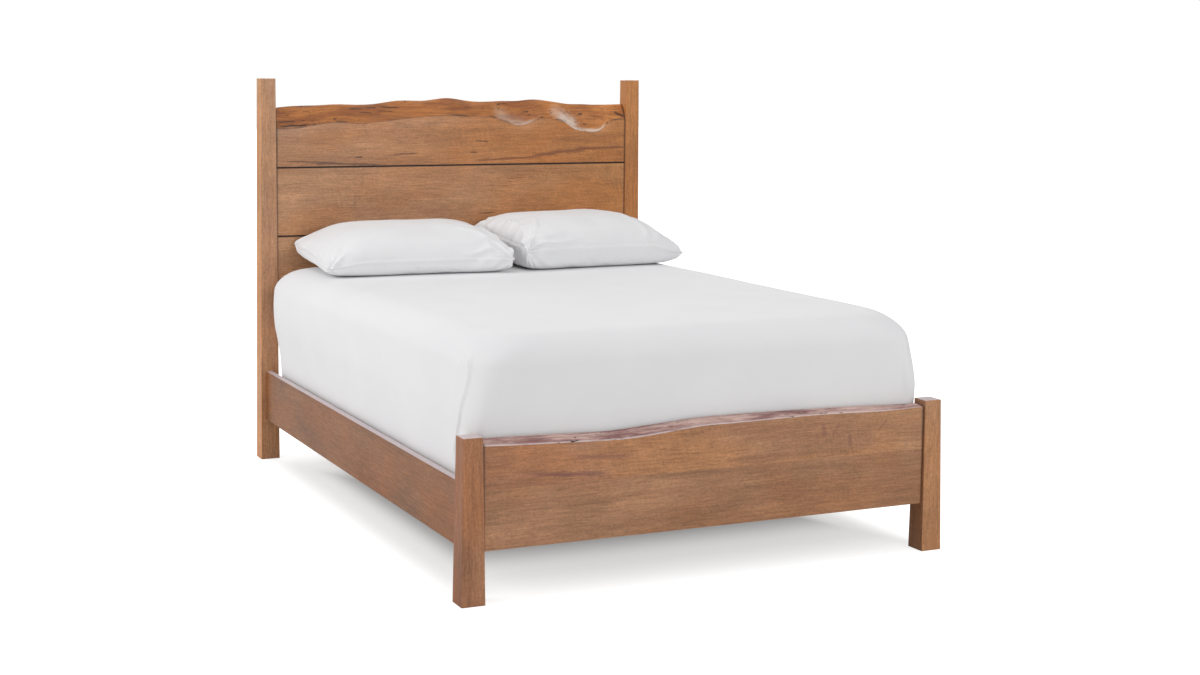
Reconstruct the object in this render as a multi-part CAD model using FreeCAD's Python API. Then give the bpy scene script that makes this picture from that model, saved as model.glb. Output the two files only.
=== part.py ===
import FreeCAD, Part
import math
import os

os.makedirs("parts", exist_ok=True)

# A queen-size panel bed with live-edge boards, made up with a sheet and two pillows.
# Millimetres. The origin is on the floor under the middle of the bed: +X runs across it,
# +Y from the foot to the head, and +Z up.

# Bedding
mattress_width = 1524.0
mattress_length = 2032.0
mattress_height = 309.0
mattress_edge_reach = 75.0
mattress_edge_drop = 65.0
mattress_edge_steps = 3
mattress_crown = 4.0
mattress_crown_reach = 90.0
mattress_waist_inset = 20.0
mattress_belly_height = 80.0
mattress_belly_radius = 90.0
mattress_top_radius = 120.0
box_spring_inset = 21.0
box_spring_height = 229.0
box_spring_radius = 90.0
sheet_thickness = 1.0
sheet_hem_lift = 10.0
fold_top_drop = 55.0
fold_width = 26.0
fold_belly_proud = 5.0
fold_belly_run = 60.0
fold_hem_proud = 8.0
fold_hem_run = 82.0
pillow_length = 705.0
pillow_depth = 496.0
pillow_steps = 7
pillow_side_draw = 17.0
pillow_end_thickness = 7.0
pillow_seam_share = 0.22
pillow_crown_power = 2.4
pillow_fullness_power = 0.7
pillow_corner_power = 5
pillow_lean = 4.0
pillow_fan = 3.0
pillow_post_gap = 3.0
pillow_gap = 40.0
pillow_gap_x = 37.5
left_pillow_thickness = 176.0
right_pillow_thickness = 196.0
soft_clearance = 0.3

# Posts: square, tapering on all four sides from the floor up
post_floor_size = 72.0
head_post_top_size = 58.0
foot_post_top_size = 59.0
head_post_height = 1460.0
foot_post_height = 476.0
edge_ease = 2.0

# Side rails and the room that they leave round the mattress
side_room = 3.0
end_room = 7.5
rail_thickness = 25.0
rail_height = 187.0
rail_bottom = 153.0
rail_setback = 20.5

# Headboard and footboard boards, tenoned into the posts
board_thickness = 38.0
headboard_setback = 10.0
footboard_setback = 12.0
plank_height = 259.0
seam_width = 4.0
lowest_plank_bottom = 596.0
headboard_rail_thickness = 25.0
headboard_rail_height = 140.0
headboard_rail_bottom = 160.0
footboard_bottom = 151.0
footboard_lower_height = 173.0
tenon_thickness = 14.0
tenon_depth = 26.0
tenon_shoulder = 22.0
mortise_clearance = 0.3
spline_thickness = 8.0
spline_height = 28.0
spline_end_gap = 1.0

# Slat deck
cleat_width = 30.0
cleat_height = 25.0
cleat_lift = 8.0
cleat_end_gap = 30.0
slat_thickness = 19.0
slat_width = 89.0
slat_count = 7
slat_end_gap = 3.0
slat_end_margin = 70.0
leg_size = 38.0
legged_slats = (3, 5)

# Hooked plates in the rail ends, and slotted plates in the posts
plate_length = 130.0
plate_width = 16.0
plate_thickness = 2.5
hook_spacing = 70.0
hook_blade = 4.0
hook_neck_height = 12.0
hook_nose_drop = 12.0
hook_nose_depth = 8.0
hook_clearance = 0.5
slot_headroom = 2.0
pocket_clearance = 2.0

# The live edges. Each row is a place along the board as a share of its half length, the height of
# the line where the sawn face stops, and the height of the crest at the back. Heights are above the
# board's straight lower edge.
headboard_live_edge = [
    (-1.00, 146, 225), (-0.86, 150, 234), (-0.76, 162, 236), (-0.65, 168, 240), (-0.57, 163, 238),
    (-0.44, 170, 242), (-0.32, 180, 254), (-0.17, 190, 254), (-0.05, 194, 264), (0.07, 189, 253),
    (0.19, 187, 250), (0.25, 173, 252), (0.31, 158, 252), (0.37, 152, 253), (0.42, 163, 257),
    (0.47, 176, 258), (0.55, 177, 252), (0.60, 170, 247), (0.65, 151, 241), (0.70, 132, 239),
    (0.75, 126, 239), (0.81, 124, 237), (0.85, 134, 237), (0.89, 160, 237), (0.93, 172, 238),
    (1.00, 174, 238),
]
footboard_live_edge = [
    (-1.00, 125, 140), (-0.85, 120, 139), (-0.68, 116, 136), (-0.51, 112, 132), (-0.43, 111, 132),
    (-0.34, 113, 136), (-0.25, 118, 140), (-0.16, 124, 145), (-0.07, 130, 149), (0.02, 131, 150),
    (0.20, 132, 150), (0.39, 134, 148), (0.58, 133, 146), (0.78, 129, 142), (0.88, 130, 139),
    (1.00, 132, 138),
]
live_edge_steps = 3

# Places worked out from the sizes above
inside_width = mattress_width + 2 * side_room
inside_length = mattress_length + 2 * end_room
rail_inner_x = inside_width / 2
rail_outer_x = rail_inner_x + rail_thickness
rail_top = rail_bottom + rail_height
post_x = rail_outer_x + rail_setback - post_floor_size / 2
headboard_front_offset = post_floor_size / 2 - headboard_setback
footboard_front_offset = post_floor_size / 2 - footboard_setback
footboard_back_offset = board_thickness - footboard_front_offset
post_y = (inside_length + headboard_front_offset + footboard_back_offset) / 2
headboard_front_y = post_y - headboard_front_offset
footboard_front_y = -post_y - footboard_front_offset
footboard_back_y = footboard_front_y + board_thickness
bedding_y = (headboard_front_y + footboard_back_y) / 2
cleat_top = rail_bottom + cleat_lift + cleat_height
slat_top = cleat_top + slat_thickness
box_spring_bottom = slat_top + soft_clearance
box_spring_top = box_spring_bottom + box_spring_height
box_spring_width = mattress_width - 2 * box_spring_inset
box_spring_length = mattress_length - 2 * box_spring_inset
mattress_bottom = box_spring_top + soft_clearance
mattress_top = mattress_bottom + mattress_height
sheet_growth = soft_clearance + sheet_thickness
sheet_top = mattress_top + sheet_growth
sheet_hem_z = slat_top + sheet_hem_lift
mattress_belly_z = mattress_bottom + mattress_belly_height
sides = {"left": -1, "right": 1}


def vec(x, y, z):
    return FreeCAD.Vector(x, y, z)


def block(x_range, y_range, z_range):
    """An upright box between two values on each axis."""
    low = vec(x_range[0], y_range[0], z_range[0])
    high = vec(x_range[1], y_range[1], z_range[1])
    size = high - low
    return Part.makeBox(size.x, size.y, size.z, low)


def prism(points, push):
    """A solid pushed from a flat polygon."""
    outline = Part.makePolygon(points + points[:1])
    return Part.Face(outline).extrude(push)


def around(middle, width):
    """The two ends of a width about its middle."""
    return (middle - width / 2, middle + width / 2)


def widened(span, extra):
    """A span made longer by the same amount at both ends."""
    return (span[0] - extra, span[1] + extra)


def eased(solid, picks):
    """A solid with the edges that the test picks rounded over."""
    return solid.makeFillet(edge_ease, [edge for edge in solid.Edges if picks(edge.BoundBox)])


def trimmed(solid, picks):
    """A solid with a narrow flat along the edges that the test picks."""
    return solid.makeChamfer(edge_ease, [edge for edge in solid.Edges if picks(edge.BoundBox)])


def export(shape, node):
    shape.exportStep("parts/" + node + ".step")


# Posts
def head_half(z):
    """Half the head post's side at one height."""
    return (post_floor_size + (head_post_top_size - post_floor_size) * z / head_post_height) / 2


def foot_half(z):
    """Half the foot post's side at one height."""
    return (post_floor_size + (foot_post_top_size - post_floor_size) * z / foot_post_height) / 2


def head_inner_x(z):
    return post_x - head_half(z)


def foot_inner_x(z):
    return post_x - foot_half(z)


def tapered_post(x, y, top_size, height):
    half = post_floor_size / 2
    top = top_size / 2
    post = Part.makeWedge(-half, 0, -half, -top, -top, half, height, half, top, top)
    post.rotate(vec(0, 0, 0), vec(1, 0, 0), 90)
    post = eased(post, lambda box: box.ZMax > height / 2)
    post.translate(vec(x, y, 0))
    return post


posts = {}
for side, sign in sides.items():
    posts["headboard_post_" + side] = tapered_post(
        sign * post_x, post_y, head_post_top_size, head_post_height
    )
    posts["footboard_post_" + side] = tapered_post(
        sign * post_x, -post_y, foot_post_top_size, foot_post_height
    )


# Boards between the posts
def tenon(inner_x, y_mid, z_span, extra=0.0):
    """One bar that makes both end tenons of a board, or, grown by a clearance, both mortises."""
    reach = inner_x((z_span[0] + z_span[1]) / 2) + tenon_depth
    return block(
        widened((-reach, reach), extra),
        widened(around(y_mid, tenon_thickness), extra),
        widened(z_span, extra),
    )


def mortise_posts(end, inner_x, y_mid, z_span):
    bar = tenon(inner_x, y_mid, z_span, mortise_clearance)
    for side in sides:
        posts[end + "_post_" + side] = posts[end + "_post_" + side].cut(bar)


def plain_board(end, inner_x, y_front, thickness, z_span, shoulder):
    """A board with ends cut to the posts' taper and a tenon at each end."""
    low, high = z_span
    outline = [
        vec(-inner_x(low), y_front, low),
        vec(inner_x(low), y_front, low),
        vec(inner_x(high), y_front, high),
        vec(-inner_x(high), y_front, high),
    ]
    board = prism(outline, vec(0, thickness, 0))
    tenon_span = (low + shoulder, high - shoulder)
    y_mid = y_front + thickness / 2
    mortise_posts(end, inner_x, y_mid, tenon_span)
    return board.fuse(tenon(inner_x, y_mid, tenon_span)).removeSplitter()


def live_edge_outline(inner_x, y, lower, rows, rise):
    """The board's outline at one depth. rise runs from 0 at the sawn face to 1 at the crest."""
    top = []
    for share, face_height, crest_height in rows:
        z = lower + face_height + rise * (crest_height - face_height)
        top.append(vec(share * inner_x(z), y, z))
    edge = Part.BSplineCurve()
    edge.interpolate(Points=top, Parameters=[row[0] for row in rows])
    low_left = vec(-inner_x(lower), y, lower)
    low_right = vec(inner_x(lower), y, lower)
    return Part.Wire([
        edge.toShape(),
        Part.makeLine(top[-1], low_right),
        Part.makeLine(low_right, low_left),
        Part.makeLine(low_left, top[0]),
    ])


def live_edge_board(end, inner_x, y_front, lower, rows):
    """A board whose top is the tree's own edge: it bellies from the sawn face to a crest behind."""
    outlines = []
    for step in range(live_edge_steps + 1):
        y = y_front + board_thickness * step / live_edge_steps
        rise = math.sin(math.pi / 2 * step / live_edge_steps)
        outlines.append(live_edge_outline(inner_x, y, lower, rows, rise))
    board = Part.makeLoft(outlines, True, True)
    lowest_face = lower + min(row[1] for row in rows)
    tenon_span = (lower + tenon_shoulder, lowest_face - tenon_shoulder)
    y_mid = y_front + board_thickness / 2
    mortise_posts(end, inner_x, y_mid, tenon_span)
    return board.fuse(tenon(inner_x, y_mid, tenon_span))


def spline_bar(inner_x, y_mid, z_mid, end_gap, extra):
    """A loose spline let into two boards' edges, or, grown by a clearance, its grooves."""
    z_span = around(z_mid, spline_height)
    reach = inner_x(z_span[0]) - end_gap
    return block(
        (-reach, reach), widened(around(y_mid, spline_thickness), extra), widened(z_span, extra)
    )


def spline(inner_x, y_mid, z_mid):
    return spline_bar(inner_x, y_mid, z_mid, spline_end_gap, 0.0)


def spline_groove(inner_x, y_mid, z_mid):
    return spline_bar(inner_x, y_mid, z_mid, -mortise_clearance, mortise_clearance)


# Headboard: two plain planks, a live-edge plank over them, and a rail low down behind the bedding
middle_plank_bottom = lowest_plank_bottom + plank_height + seam_width
top_plank_bottom = middle_plank_bottom + plank_height + seam_width
headboard_mid_y = headboard_front_y + board_thickness / 2

lower_plank = plain_board(
    "headboard", head_inner_x, headboard_front_y, board_thickness,
    (lowest_plank_bottom, lowest_plank_bottom + plank_height), tenon_shoulder,
)
middle_plank = plain_board(
    "headboard", head_inner_x, headboard_front_y, board_thickness,
    (middle_plank_bottom, middle_plank_bottom + plank_height), tenon_shoulder,
)
top_plank = live_edge_board(
    "headboard", head_inner_x, headboard_front_y, top_plank_bottom, headboard_live_edge
)
lower_seam_z = middle_plank_bottom - seam_width / 2
upper_seam_z = top_plank_bottom - seam_width / 2
lower_groove = spline_groove(head_inner_x, headboard_mid_y, lower_seam_z)
upper_groove = spline_groove(head_inner_x, headboard_mid_y, upper_seam_z)
export(lower_plank.cut(lower_groove), "headboard_lower_plank")
export(middle_plank.cut(lower_groove).cut(upper_groove), "headboard_middle_plank")
export(top_plank.cut(upper_groove), "headboard_live_edge_plank")
export(spline(head_inner_x, headboard_mid_y, lower_seam_z), "headboard_spline_lower")
export(spline(head_inner_x, headboard_mid_y, upper_seam_z), "headboard_spline_upper")

headboard_rail = plain_board(
    "headboard", head_inner_x, post_y - headboard_rail_thickness / 2, headboard_rail_thickness,
    (headboard_rail_bottom, headboard_rail_bottom + headboard_rail_height), tenon_shoulder,
)
export(headboard_rail, "headboard_bottom_rail")

# Footboard: a plain board with a live-edge board glued along its top
footboard_joint_z = footboard_bottom + footboard_lower_height
footboard_mid_y = footboard_front_y + board_thickness / 2
footboard_lower = plain_board(
    "footboard", foot_inner_x, footboard_front_y, board_thickness,
    (footboard_bottom, footboard_joint_z), tenon_shoulder,
)
footboard_upper = live_edge_board(
    "footboard", foot_inner_x, footboard_front_y, footboard_joint_z, footboard_live_edge
)
joint_groove = spline_groove(foot_inner_x, footboard_mid_y, footboard_joint_z)
export(footboard_lower.cut(joint_groove), "footboard_lower_board")
export(footboard_upper.cut(joint_groove), "footboard_live_edge_board")
export(spline(foot_inner_x, footboard_mid_y, footboard_joint_z), "footboard_spline")


# Side rails, with ends cut to the posts' taper
def rail_board(sign):
    outline = [
        vec(0, foot_half(rail_bottom) - post_y, rail_bottom),
        vec(0, post_y - head_half(rail_bottom), rail_bottom),
        vec(0, post_y - head_half(rail_top), rail_top),
        vec(0, foot_half(rail_top) - post_y, rail_top),
    ]
    rail = prism(outline, vec(rail_thickness, 0, 0))
    rail = eased(rail, lambda box: box.YLength > rail_height)
    rail.translate(vec(rail_inner_x if sign > 0 else -rail_outer_x, 0, 0))
    return rail


rails = {side: rail_board(sign) for side, sign in sides.items()}


# Hook joints. Each is drawn on the post's face: y runs from the face into the rail, z up the face.
hook_middles = (-hook_spacing / 2, hook_spacing / 2)
slot_height = hook_neck_height + hook_nose_drop + slot_headroom
hook_inner_y = -plate_thickness - hook_clearance
hook_outer_y = hook_inner_y - hook_nose_depth


def plate_blank(y_span):
    return block(around(0, plate_width), y_span, around(0, plate_length))


def hook_blade_at(z):
    """A hook that reaches through the slot and drops behind the slotted plate."""
    outline = [
        vec(-hook_blade / 2, 0, z),
        vec(-hook_blade / 2, 0, z - hook_neck_height),
        vec(-hook_blade / 2, hook_inner_y, z - hook_neck_height),
        vec(-hook_blade / 2, hook_inner_y, z - hook_neck_height - hook_nose_drop),
        vec(-hook_blade / 2, hook_outer_y, z - hook_neck_height - hook_nose_drop / 2),
        vec(-hook_blade / 2, hook_outer_y, z),
    ]
    return prism(outline, vec(hook_blade, 0, 0))


def slot_at(z):
    return block(
        around(0, hook_blade + 2 * hook_clearance),
        (-plate_thickness, 0),
        (z - hook_neck_height, z - hook_neck_height + slot_height),
    )


def pocket_at(z):
    """The room behind a slot that the hook drops into."""
    return block(
        around(0, hook_blade + 2 * pocket_clearance),
        (hook_outer_y - pocket_clearance, -plate_thickness),
        (z - hook_neck_height - hook_nose_drop - pocket_clearance, z - hook_neck_height + slot_height),
    )


def joint_placement(end, sign):
    """Where a hook joint sits: on the tapered face that the rail's end meets."""
    z = (rail_bottom + rail_top) / 2
    x = sign * (rail_inner_x + rail_outer_x) / 2
    if end == "headboard":
        lean = math.atan2(post_floor_size - head_post_top_size, 2 * head_post_height)
        turn = FreeCAD.Rotation(vec(1, 0, 0), -math.degrees(lean)) * FreeCAD.Rotation(vec(0, 0, 1), 180)
        return FreeCAD.Placement(vec(x, post_y - head_half(z), z), turn)
    lean = math.atan2(post_floor_size - foot_post_top_size, 2 * foot_post_height)
    return FreeCAD.Placement(
        vec(x, foot_half(z) - post_y, z), FreeCAD.Rotation(vec(1, 0, 0), math.degrees(lean))
    )


def placed(shape, placement):
    moved = shape.copy()
    moved.Placement = placement * moved.Placement
    return moved


hook_recess = plate_blank((0, plate_thickness))
slot_recess = plate_blank((-plate_thickness, 0))
hook_plate = hook_recess
slot_plate = slot_recess
pockets = []
for middle in hook_middles:
    hook_plate = hook_plate.fuse(hook_blade_at(middle))
    slot_plate = slot_plate.cut(slot_at(middle))
    pockets.append(pocket_at(middle))

for end in ("headboard", "footboard"):
    for side, sign in sides.items():
        seat = joint_placement(end, sign)
        export(placed(hook_plate, seat), "hook_plate_" + end + "_" + side)
        export(placed(slot_plate, seat), "slot_plate_" + end + "_" + side)
        rails[side] = rails[side].cut(placed(hook_recess, seat))
        post_node = end + "_post_" + side
        for tool in [slot_recess] + pockets:
            posts[post_node] = posts[post_node].cut(placed(tool, seat))
for node, post in posts.items():
    export(post, node)
for side in sides:
    export(rails[side], "side_rail_" + side)

# Cleats along the rails' inner faces
cleat_start = foot_half(rail_bottom) - post_y + cleat_end_gap
cleat_end = post_y - head_half(rail_bottom) - cleat_end_gap
cleat_middle_x = rail_inner_x - cleat_width / 2
for side, sign in sides.items():
    cleat = block(
        around(sign * cleat_middle_x, cleat_width),
        (cleat_start, cleat_end),
        (cleat_top - cleat_height, cleat_top),
    )
    export(cleat, "rail_cleat_" + side)

# Slats across the cleats, with a leg under the middle of two of them
slat_reach = rail_inner_x - slat_end_gap
first_slat_y = cleat_start + slat_end_margin
slat_pitch = (cleat_end - slat_end_margin - first_slat_y) / (slat_count - 1)


def slat_y(number):
    return first_slat_y + (number - 1) * slat_pitch


for number in range(1, slat_count + 1):
    slat = block((-slat_reach, slat_reach), around(slat_y(number), slat_width), (cleat_top, slat_top))
    export(trimmed(slat, lambda box: box.XLength > slat_width), "slat_%d" % number)
for place, number in enumerate(legged_slats):
    leg = block(around(0, leg_size), around(slat_y(number), leg_size), (0, cleat_top))
    export(trimmed(leg, lambda box: box.ZLength > leg_size), "centre_leg_%d" % (place + 1))


# Mattress set
def rounded_rectangle(half_x, half_y, radius, z):
    """A flat outline of four lines and four corner arcs about the bedding's middle."""
    edges = []
    corners = [(1, 1, 0), (-1, 1, 90), (-1, -1, 180), (1, -1, 270)]
    arcs = []
    for sign_x, sign_y, start in corners:
        centre = vec(sign_x * (half_x - radius), bedding_y + sign_y * (half_y - radius), z)
        points = []
        for turn in (start, start + 45, start + 90):
            angle = math.radians(turn)
            points.append(centre + vec(radius * math.cos(angle), radius * math.sin(angle), 0))
        arcs.append(points)
    for index, points in enumerate(arcs):
        edges.append(Part.Arc(points[0], points[1], points[2]).toShape())
        edges.append(Part.makeLine(points[2], arcs[(index + 1) % len(arcs)][0]))
    return Part.Wire(edges)


def mattress_outline(z, inset, growth):
    share = max(0.0, (z - mattress_belly_z) / (mattress_top - mattress_belly_z))
    radius = mattress_belly_radius + (mattress_top_radius - mattress_belly_radius) * share
    half_x = mattress_width / 2 - inset
    half_y = mattress_length / 2 - inset
    return rounded_rectangle(half_x + growth, half_y + growth, radius + growth, z + growth)


def mattress_upper(growth):
    """Outlines from the mattress's belly over its soft edge to the crowned top."""
    shoulder = mattress_top - mattress_crown - mattress_edge_drop
    outlines = [mattress_outline(mattress_belly_z, 0.0, growth)]
    outlines.append(mattress_outline((mattress_belly_z + shoulder) / 2, 0.0, growth))
    for step in range(mattress_edge_steps + 1):
        angle = math.pi / 2 * step / mattress_edge_steps
        inset = mattress_edge_reach * (1 - math.cos(angle))
        outlines.append(mattress_outline(shoulder + mattress_edge_drop * math.sin(angle), inset, growth))
    outlines.append(mattress_outline(mattress_top, mattress_edge_reach + mattress_crown_reach, growth))
    return outlines


def box_spring_outline(z, growth=0.0):
    return rounded_rectangle(
        box_spring_width / 2 + growth, box_spring_length / 2 + growth, box_spring_radius + growth, z
    )


def sheet_body(growth, hem_z):
    """The sheet's outside, or its inside: taut from the mattress's belly down to the hem."""
    return Part.makeLoft([box_spring_outline(hem_z, growth)] + mattress_upper(growth), True, True)


def fold_section(sign, half_x, y, z, proud):
    """A flat triangle, sunk into the sheet, whose point stands proud of the sheet's side."""
    sunk = sign * (half_x - fold_width)
    points = [
        vec(sunk, y - fold_width, z),
        vec(sign * (half_x + proud), y, z),
        vec(sunk, y + fold_width, z),
    ]
    return Part.makePolygon(points + points[:1])


def corner_fold(sign):
    """The tuck at a foot corner: it slants from the mattress's top down the side to the hem."""
    foot_y = bedding_y - mattress_length / 2 + mattress_belly_radius
    side_x = mattress_width / 2 + sheet_growth
    hem_x = box_spring_width / 2 + sheet_growth
    return Part.makeLoft([
        Part.Vertex(vec(sign * side_x, foot_y, mattress_top - fold_top_drop)),
        fold_section(sign, side_x, foot_y + fold_belly_run, mattress_belly_z, fold_belly_proud),
        fold_section(sign, hem_x, foot_y + fold_hem_run, sheet_hem_z, fold_hem_proud),
    ], True, True)


box_spring = Part.makeLoft(
    [box_spring_outline(box_spring_bottom), box_spring_outline(box_spring_top)], True, True
)
mattress = Part.makeLoft(
    [mattress_outline(mattress_bottom, mattress_waist_inset, 0.0)] + mattress_upper(0.0), True, True
)
sheet = sheet_body(sheet_growth, sheet_hem_z)
for sign in sides.values():
    sheet = sheet.fuse(corner_fold(sign))
export(box_spring, "box_spring")
export(mattress, "mattress")
export(sheet.cut(sheet_body(soft_clearance, slat_top)), "sheet")


# Pillows
def pillow_section(x, half_depth, thickness):
    """A lens of two arcs that meet at the seam, fuller above the seam than below it."""
    front = vec(x, -half_depth, 0)
    back = vec(x, half_depth, 0)
    top = vec(x, 0, thickness * (1 - pillow_seam_share))
    bottom = vec(x, 0, -thickness * pillow_seam_share)
    return Part.Wire([Part.Arc(front, top, back).toShape(), Part.Arc(back, bottom, front).toShape()])


def pillow(sign, thickness):
    """A pillow with a crown, thin ends, and long sides drawn in between its corners."""
    sections = []
    for step in range(-pillow_steps, pillow_steps + 1):
        share = math.sin(math.pi / 2 * step / pillow_steps)
        plump = (1 - abs(share) ** pillow_crown_power) ** pillow_fullness_power
        height = pillow_end_thickness + (thickness - pillow_end_thickness) * plump
        half_depth = pillow_depth / 2 - pillow_side_draw * (1 - abs(share) ** pillow_corner_power)
        sections.append(pillow_section(share * pillow_length / 2, half_depth, height))
    body = Part.makeLoft(sections, True, True)
    body.rotate(vec(0, 0, 0), vec(1, 0, 0), pillow_lean)
    body.rotate(vec(0, 0, 0), vec(0, 0, 1), sign * pillow_fan)
    box = body.optimalBoundingBox(False, False)
    x = pillow_gap_x + sign * (pillow_gap + pillow_length) / 2
    back_y = post_y - head_half(sheet_top) - pillow_post_gap
    body.translate(vec(x, back_y - box.YMax, sheet_top + soft_clearance - box.ZMin))
    return body


export(pillow(sides["left"], left_pillow_thickness), "pillow_left")
export(pillow(sides["right"], right_pillow_thickness), "pillow_right")
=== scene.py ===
from math import atan2, copysign, cos, exp, hypot, pi, radians, sin

import bmesh
import bpy
from mathutils import Euler, Matrix, Vector
from mathutils.noise import noise


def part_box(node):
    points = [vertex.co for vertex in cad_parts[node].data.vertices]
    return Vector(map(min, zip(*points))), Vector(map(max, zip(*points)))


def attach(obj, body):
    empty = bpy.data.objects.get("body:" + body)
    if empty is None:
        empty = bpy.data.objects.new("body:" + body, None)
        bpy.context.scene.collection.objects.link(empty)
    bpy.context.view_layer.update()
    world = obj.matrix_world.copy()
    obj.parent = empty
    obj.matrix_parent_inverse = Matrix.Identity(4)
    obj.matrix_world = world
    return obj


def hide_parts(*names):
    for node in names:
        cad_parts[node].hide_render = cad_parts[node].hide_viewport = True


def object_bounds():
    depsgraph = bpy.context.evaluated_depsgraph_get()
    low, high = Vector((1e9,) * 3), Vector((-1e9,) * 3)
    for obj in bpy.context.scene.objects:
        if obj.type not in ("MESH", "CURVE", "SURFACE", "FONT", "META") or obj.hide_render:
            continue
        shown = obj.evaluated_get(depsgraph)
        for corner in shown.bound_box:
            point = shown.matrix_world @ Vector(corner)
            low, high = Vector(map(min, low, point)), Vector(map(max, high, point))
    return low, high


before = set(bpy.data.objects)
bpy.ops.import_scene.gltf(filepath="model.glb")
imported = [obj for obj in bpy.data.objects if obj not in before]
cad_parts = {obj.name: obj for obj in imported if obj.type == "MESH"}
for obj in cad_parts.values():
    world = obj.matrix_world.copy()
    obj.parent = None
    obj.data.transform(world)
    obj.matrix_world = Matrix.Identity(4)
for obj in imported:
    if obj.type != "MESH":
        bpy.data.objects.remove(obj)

cad_low, cad_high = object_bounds()


# Posts
# Four square maple posts taper on every side from the floor up, with eased edges.
# They are stained a medium brown, with upright grain, and sealed with a satin lacquer.
def set_inputs(node, values):
    """Fills a node's inputs, by name or place, with other nodes' outputs or values. Colours are opaque."""
    for key, value in values.items():
        socket = node.inputs[key]
        if isinstance(value, bpy.types.NodeSocket):
            node.id_data.links.new(value, socket)
        elif socket.type == "RGBA":
            socket.default_value = (*value, 1.0)
        else:
            socket.default_value = value


def shader_node(kind, values, tree=None, **settings):
    """A shader node with its settings and inputs, in the given tree or in the one its inputs come from."""
    if tree is None:
        tree = next(value.id_data for value in values.values() if isinstance(value, bpy.types.NodeSocket))
    made = tree.nodes.new("ShaderNode" + kind)
    for name, setting in settings.items():
        setattr(made, name, setting)
    set_inputs(made, values)
    return made


def calculated(operation, first, second=0.0):
    return shader_node("Math", {0: first, 1: second}, operation=operation).outputs[0]


def product(first, *others):
    for other in others:
        first = calculated("MULTIPLY", first, other)
    return first


def vectored(operation, first, second=(0.0, 0.0, 0.0)):
    return shader_node("VectorMath", {0: first, 1: second}, operation=operation).outputs[0]


def blended(factor, first, second, blend="MIX"):
    values = {0: factor, 6: first, 7: second}
    return shader_node("Mix", values, data_type="RGBA", blend_type=blend).outputs[2]


def grey(value):
    return shader_node("CombineColor", {0: value, 1: value, 2: value}).outputs[0]


def ramped(value, low, high, to_low=0.0, to_high=1.0):
    """A value eased from one range to another and kept inside it."""
    limits = {"Value": value, "From Min": low, "From Max": high, "To Min": to_low, "To Max": to_high}
    return shader_node("MapRange", limits, interpolation_type="SMOOTHSTEP").outputs[0]


def stretched_noise(vector, along, across, detail=2.0, roughness=0.5):
    """Noise whose grains are drawn out along X."""
    drawn = vectored("MULTIPLY", vector, (along, across, across))
    values = {"Vector": drawn, "Scale": 1.0, "Detail": detail, "Roughness": roughness}
    return shader_node("TexNoise", values).outputs["Fac"]


def new_group(name, inputs, outputs):
    """A new shader node group, with its inputs and its last node."""
    group = bpy.data.node_groups.new(name, "ShaderNodeTree")
    for side, sockets in (("INPUT", inputs), ("OUTPUT", outputs)):
        for label, kind in sockets.items():
            group.interface.new_socket(label, in_out=side, socket_type="NodeSocket" + kind)
    return group, group.nodes.new("NodeGroupInput").outputs, group.nodes.new("NodeGroupOutput")


# Stained grain: drifting bands, growth rings, dark lines, fine fibres, a rippled figure and short dashes
grain_inputs = {
    "Vector": "Vector", "Light": "Color", "Dark": "Color", "Warm": "Color",
    "Curl": "Float", "Flecks": "Float",
}
grain_outputs = {"Color": "Color", "Roughness": "Float", "Height": "Float"}
grain, given, result = new_group("stained_grain", grain_inputs, grain_outputs)
line_stain = (0.34, 0.28, 0.27)
dash_dark = (0.055, 0.026, 0.014)
place = given["Vector"]
sway = product(calculated("SUBTRACT", stretched_noise(place, 0.9, 4.0, 1.0), 0.5), 0.06)
swayed = vectored("ADD", place, shader_node("CombineXYZ", {1: sway, 2: sway}).outputs[0])
fibres = stretched_noise(swayed, 18.0, 300.0, 3.0, 0.65)
lines = ramped(stretched_noise(swayed, 4.0, 120.0, 3.0, 0.6), 0.54, 0.74)
streaks = stretched_noise(swayed, 6.0, 190.0, 3.0, 0.6)
bands = stretched_noise(swayed, 1.4, 24.0, 2.0, 0.5)
specks = stretched_noise(swayed, 110.0, 170.0, 2.0, 0.6)
rings = product(stretched_noise(swayed, 0.55, 4.5, 1.5), 75.0)
rings = ramped(calculated("SINE", rings), -0.2, 1.0)
patches = stretched_noise(place, 2.4, 6.0, 3.0)
clouds = stretched_noise(place, 5.0, 9.0, 4.0, 0.6)
slanted = shader_node("Mapping", {"Vector": swayed, "Rotation": (0.0, 0.22, 0.22)}).outputs[0]
waves = calculated("SUBTRACT", stretched_noise(slanted, 150.0, 18.0, 2.0), 0.5)
wave_places = ramped(stretched_noise(place, 2.5, 4.0, 1.0), 0.46, 0.62)
dashes = ramped(stretched_noise(swayed, 20.0, 230.0, 1.0), 0.69, 0.76)
dash_places = ramped(stretched_noise(place, 3.0, 9.0, 2.0), 0.48, 0.62)
dashes = product(dashes, dash_places, given["Flecks"])
colour = blended(ramped(bands, 0.28, 0.76, 0.12, 0.78), given["Light"], given["Dark"])
colour = blended(product(rings, 0.16), colour, given["Dark"])
colour = blended(ramped(patches, 0.42, 0.64, 0.0, 0.8), colour, given["Warm"])
colour = blended(product(lines, 0.26), colour, line_stain, "MULTIPLY")
shade = ramped(fibres, 0.25, 0.75, 0.82, 1.13)
shade = product(shade, ramped(streaks, 0.3, 0.7, 0.92, 1.07))
shade = product(shade, ramped(specks, 0.25, 0.75, 0.86, 1.12))
shade = calculated("ADD", shade, product(waves, given["Curl"], wave_places))
shade = product(shade, ramped(clouds, 0.28, 0.72, 0.88, 1.12))
colour = blended(1.0, colour, grey(shade), "MULTIPLY")
set_inputs(result, {
    "Color": blended(dashes, colour, dash_dark), "Roughness": ramped(fibres, 0.2, 0.8, 0.5, 0.38),
    "Height": calculated("SUBTRACT", fibres, dashes),
})


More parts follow.
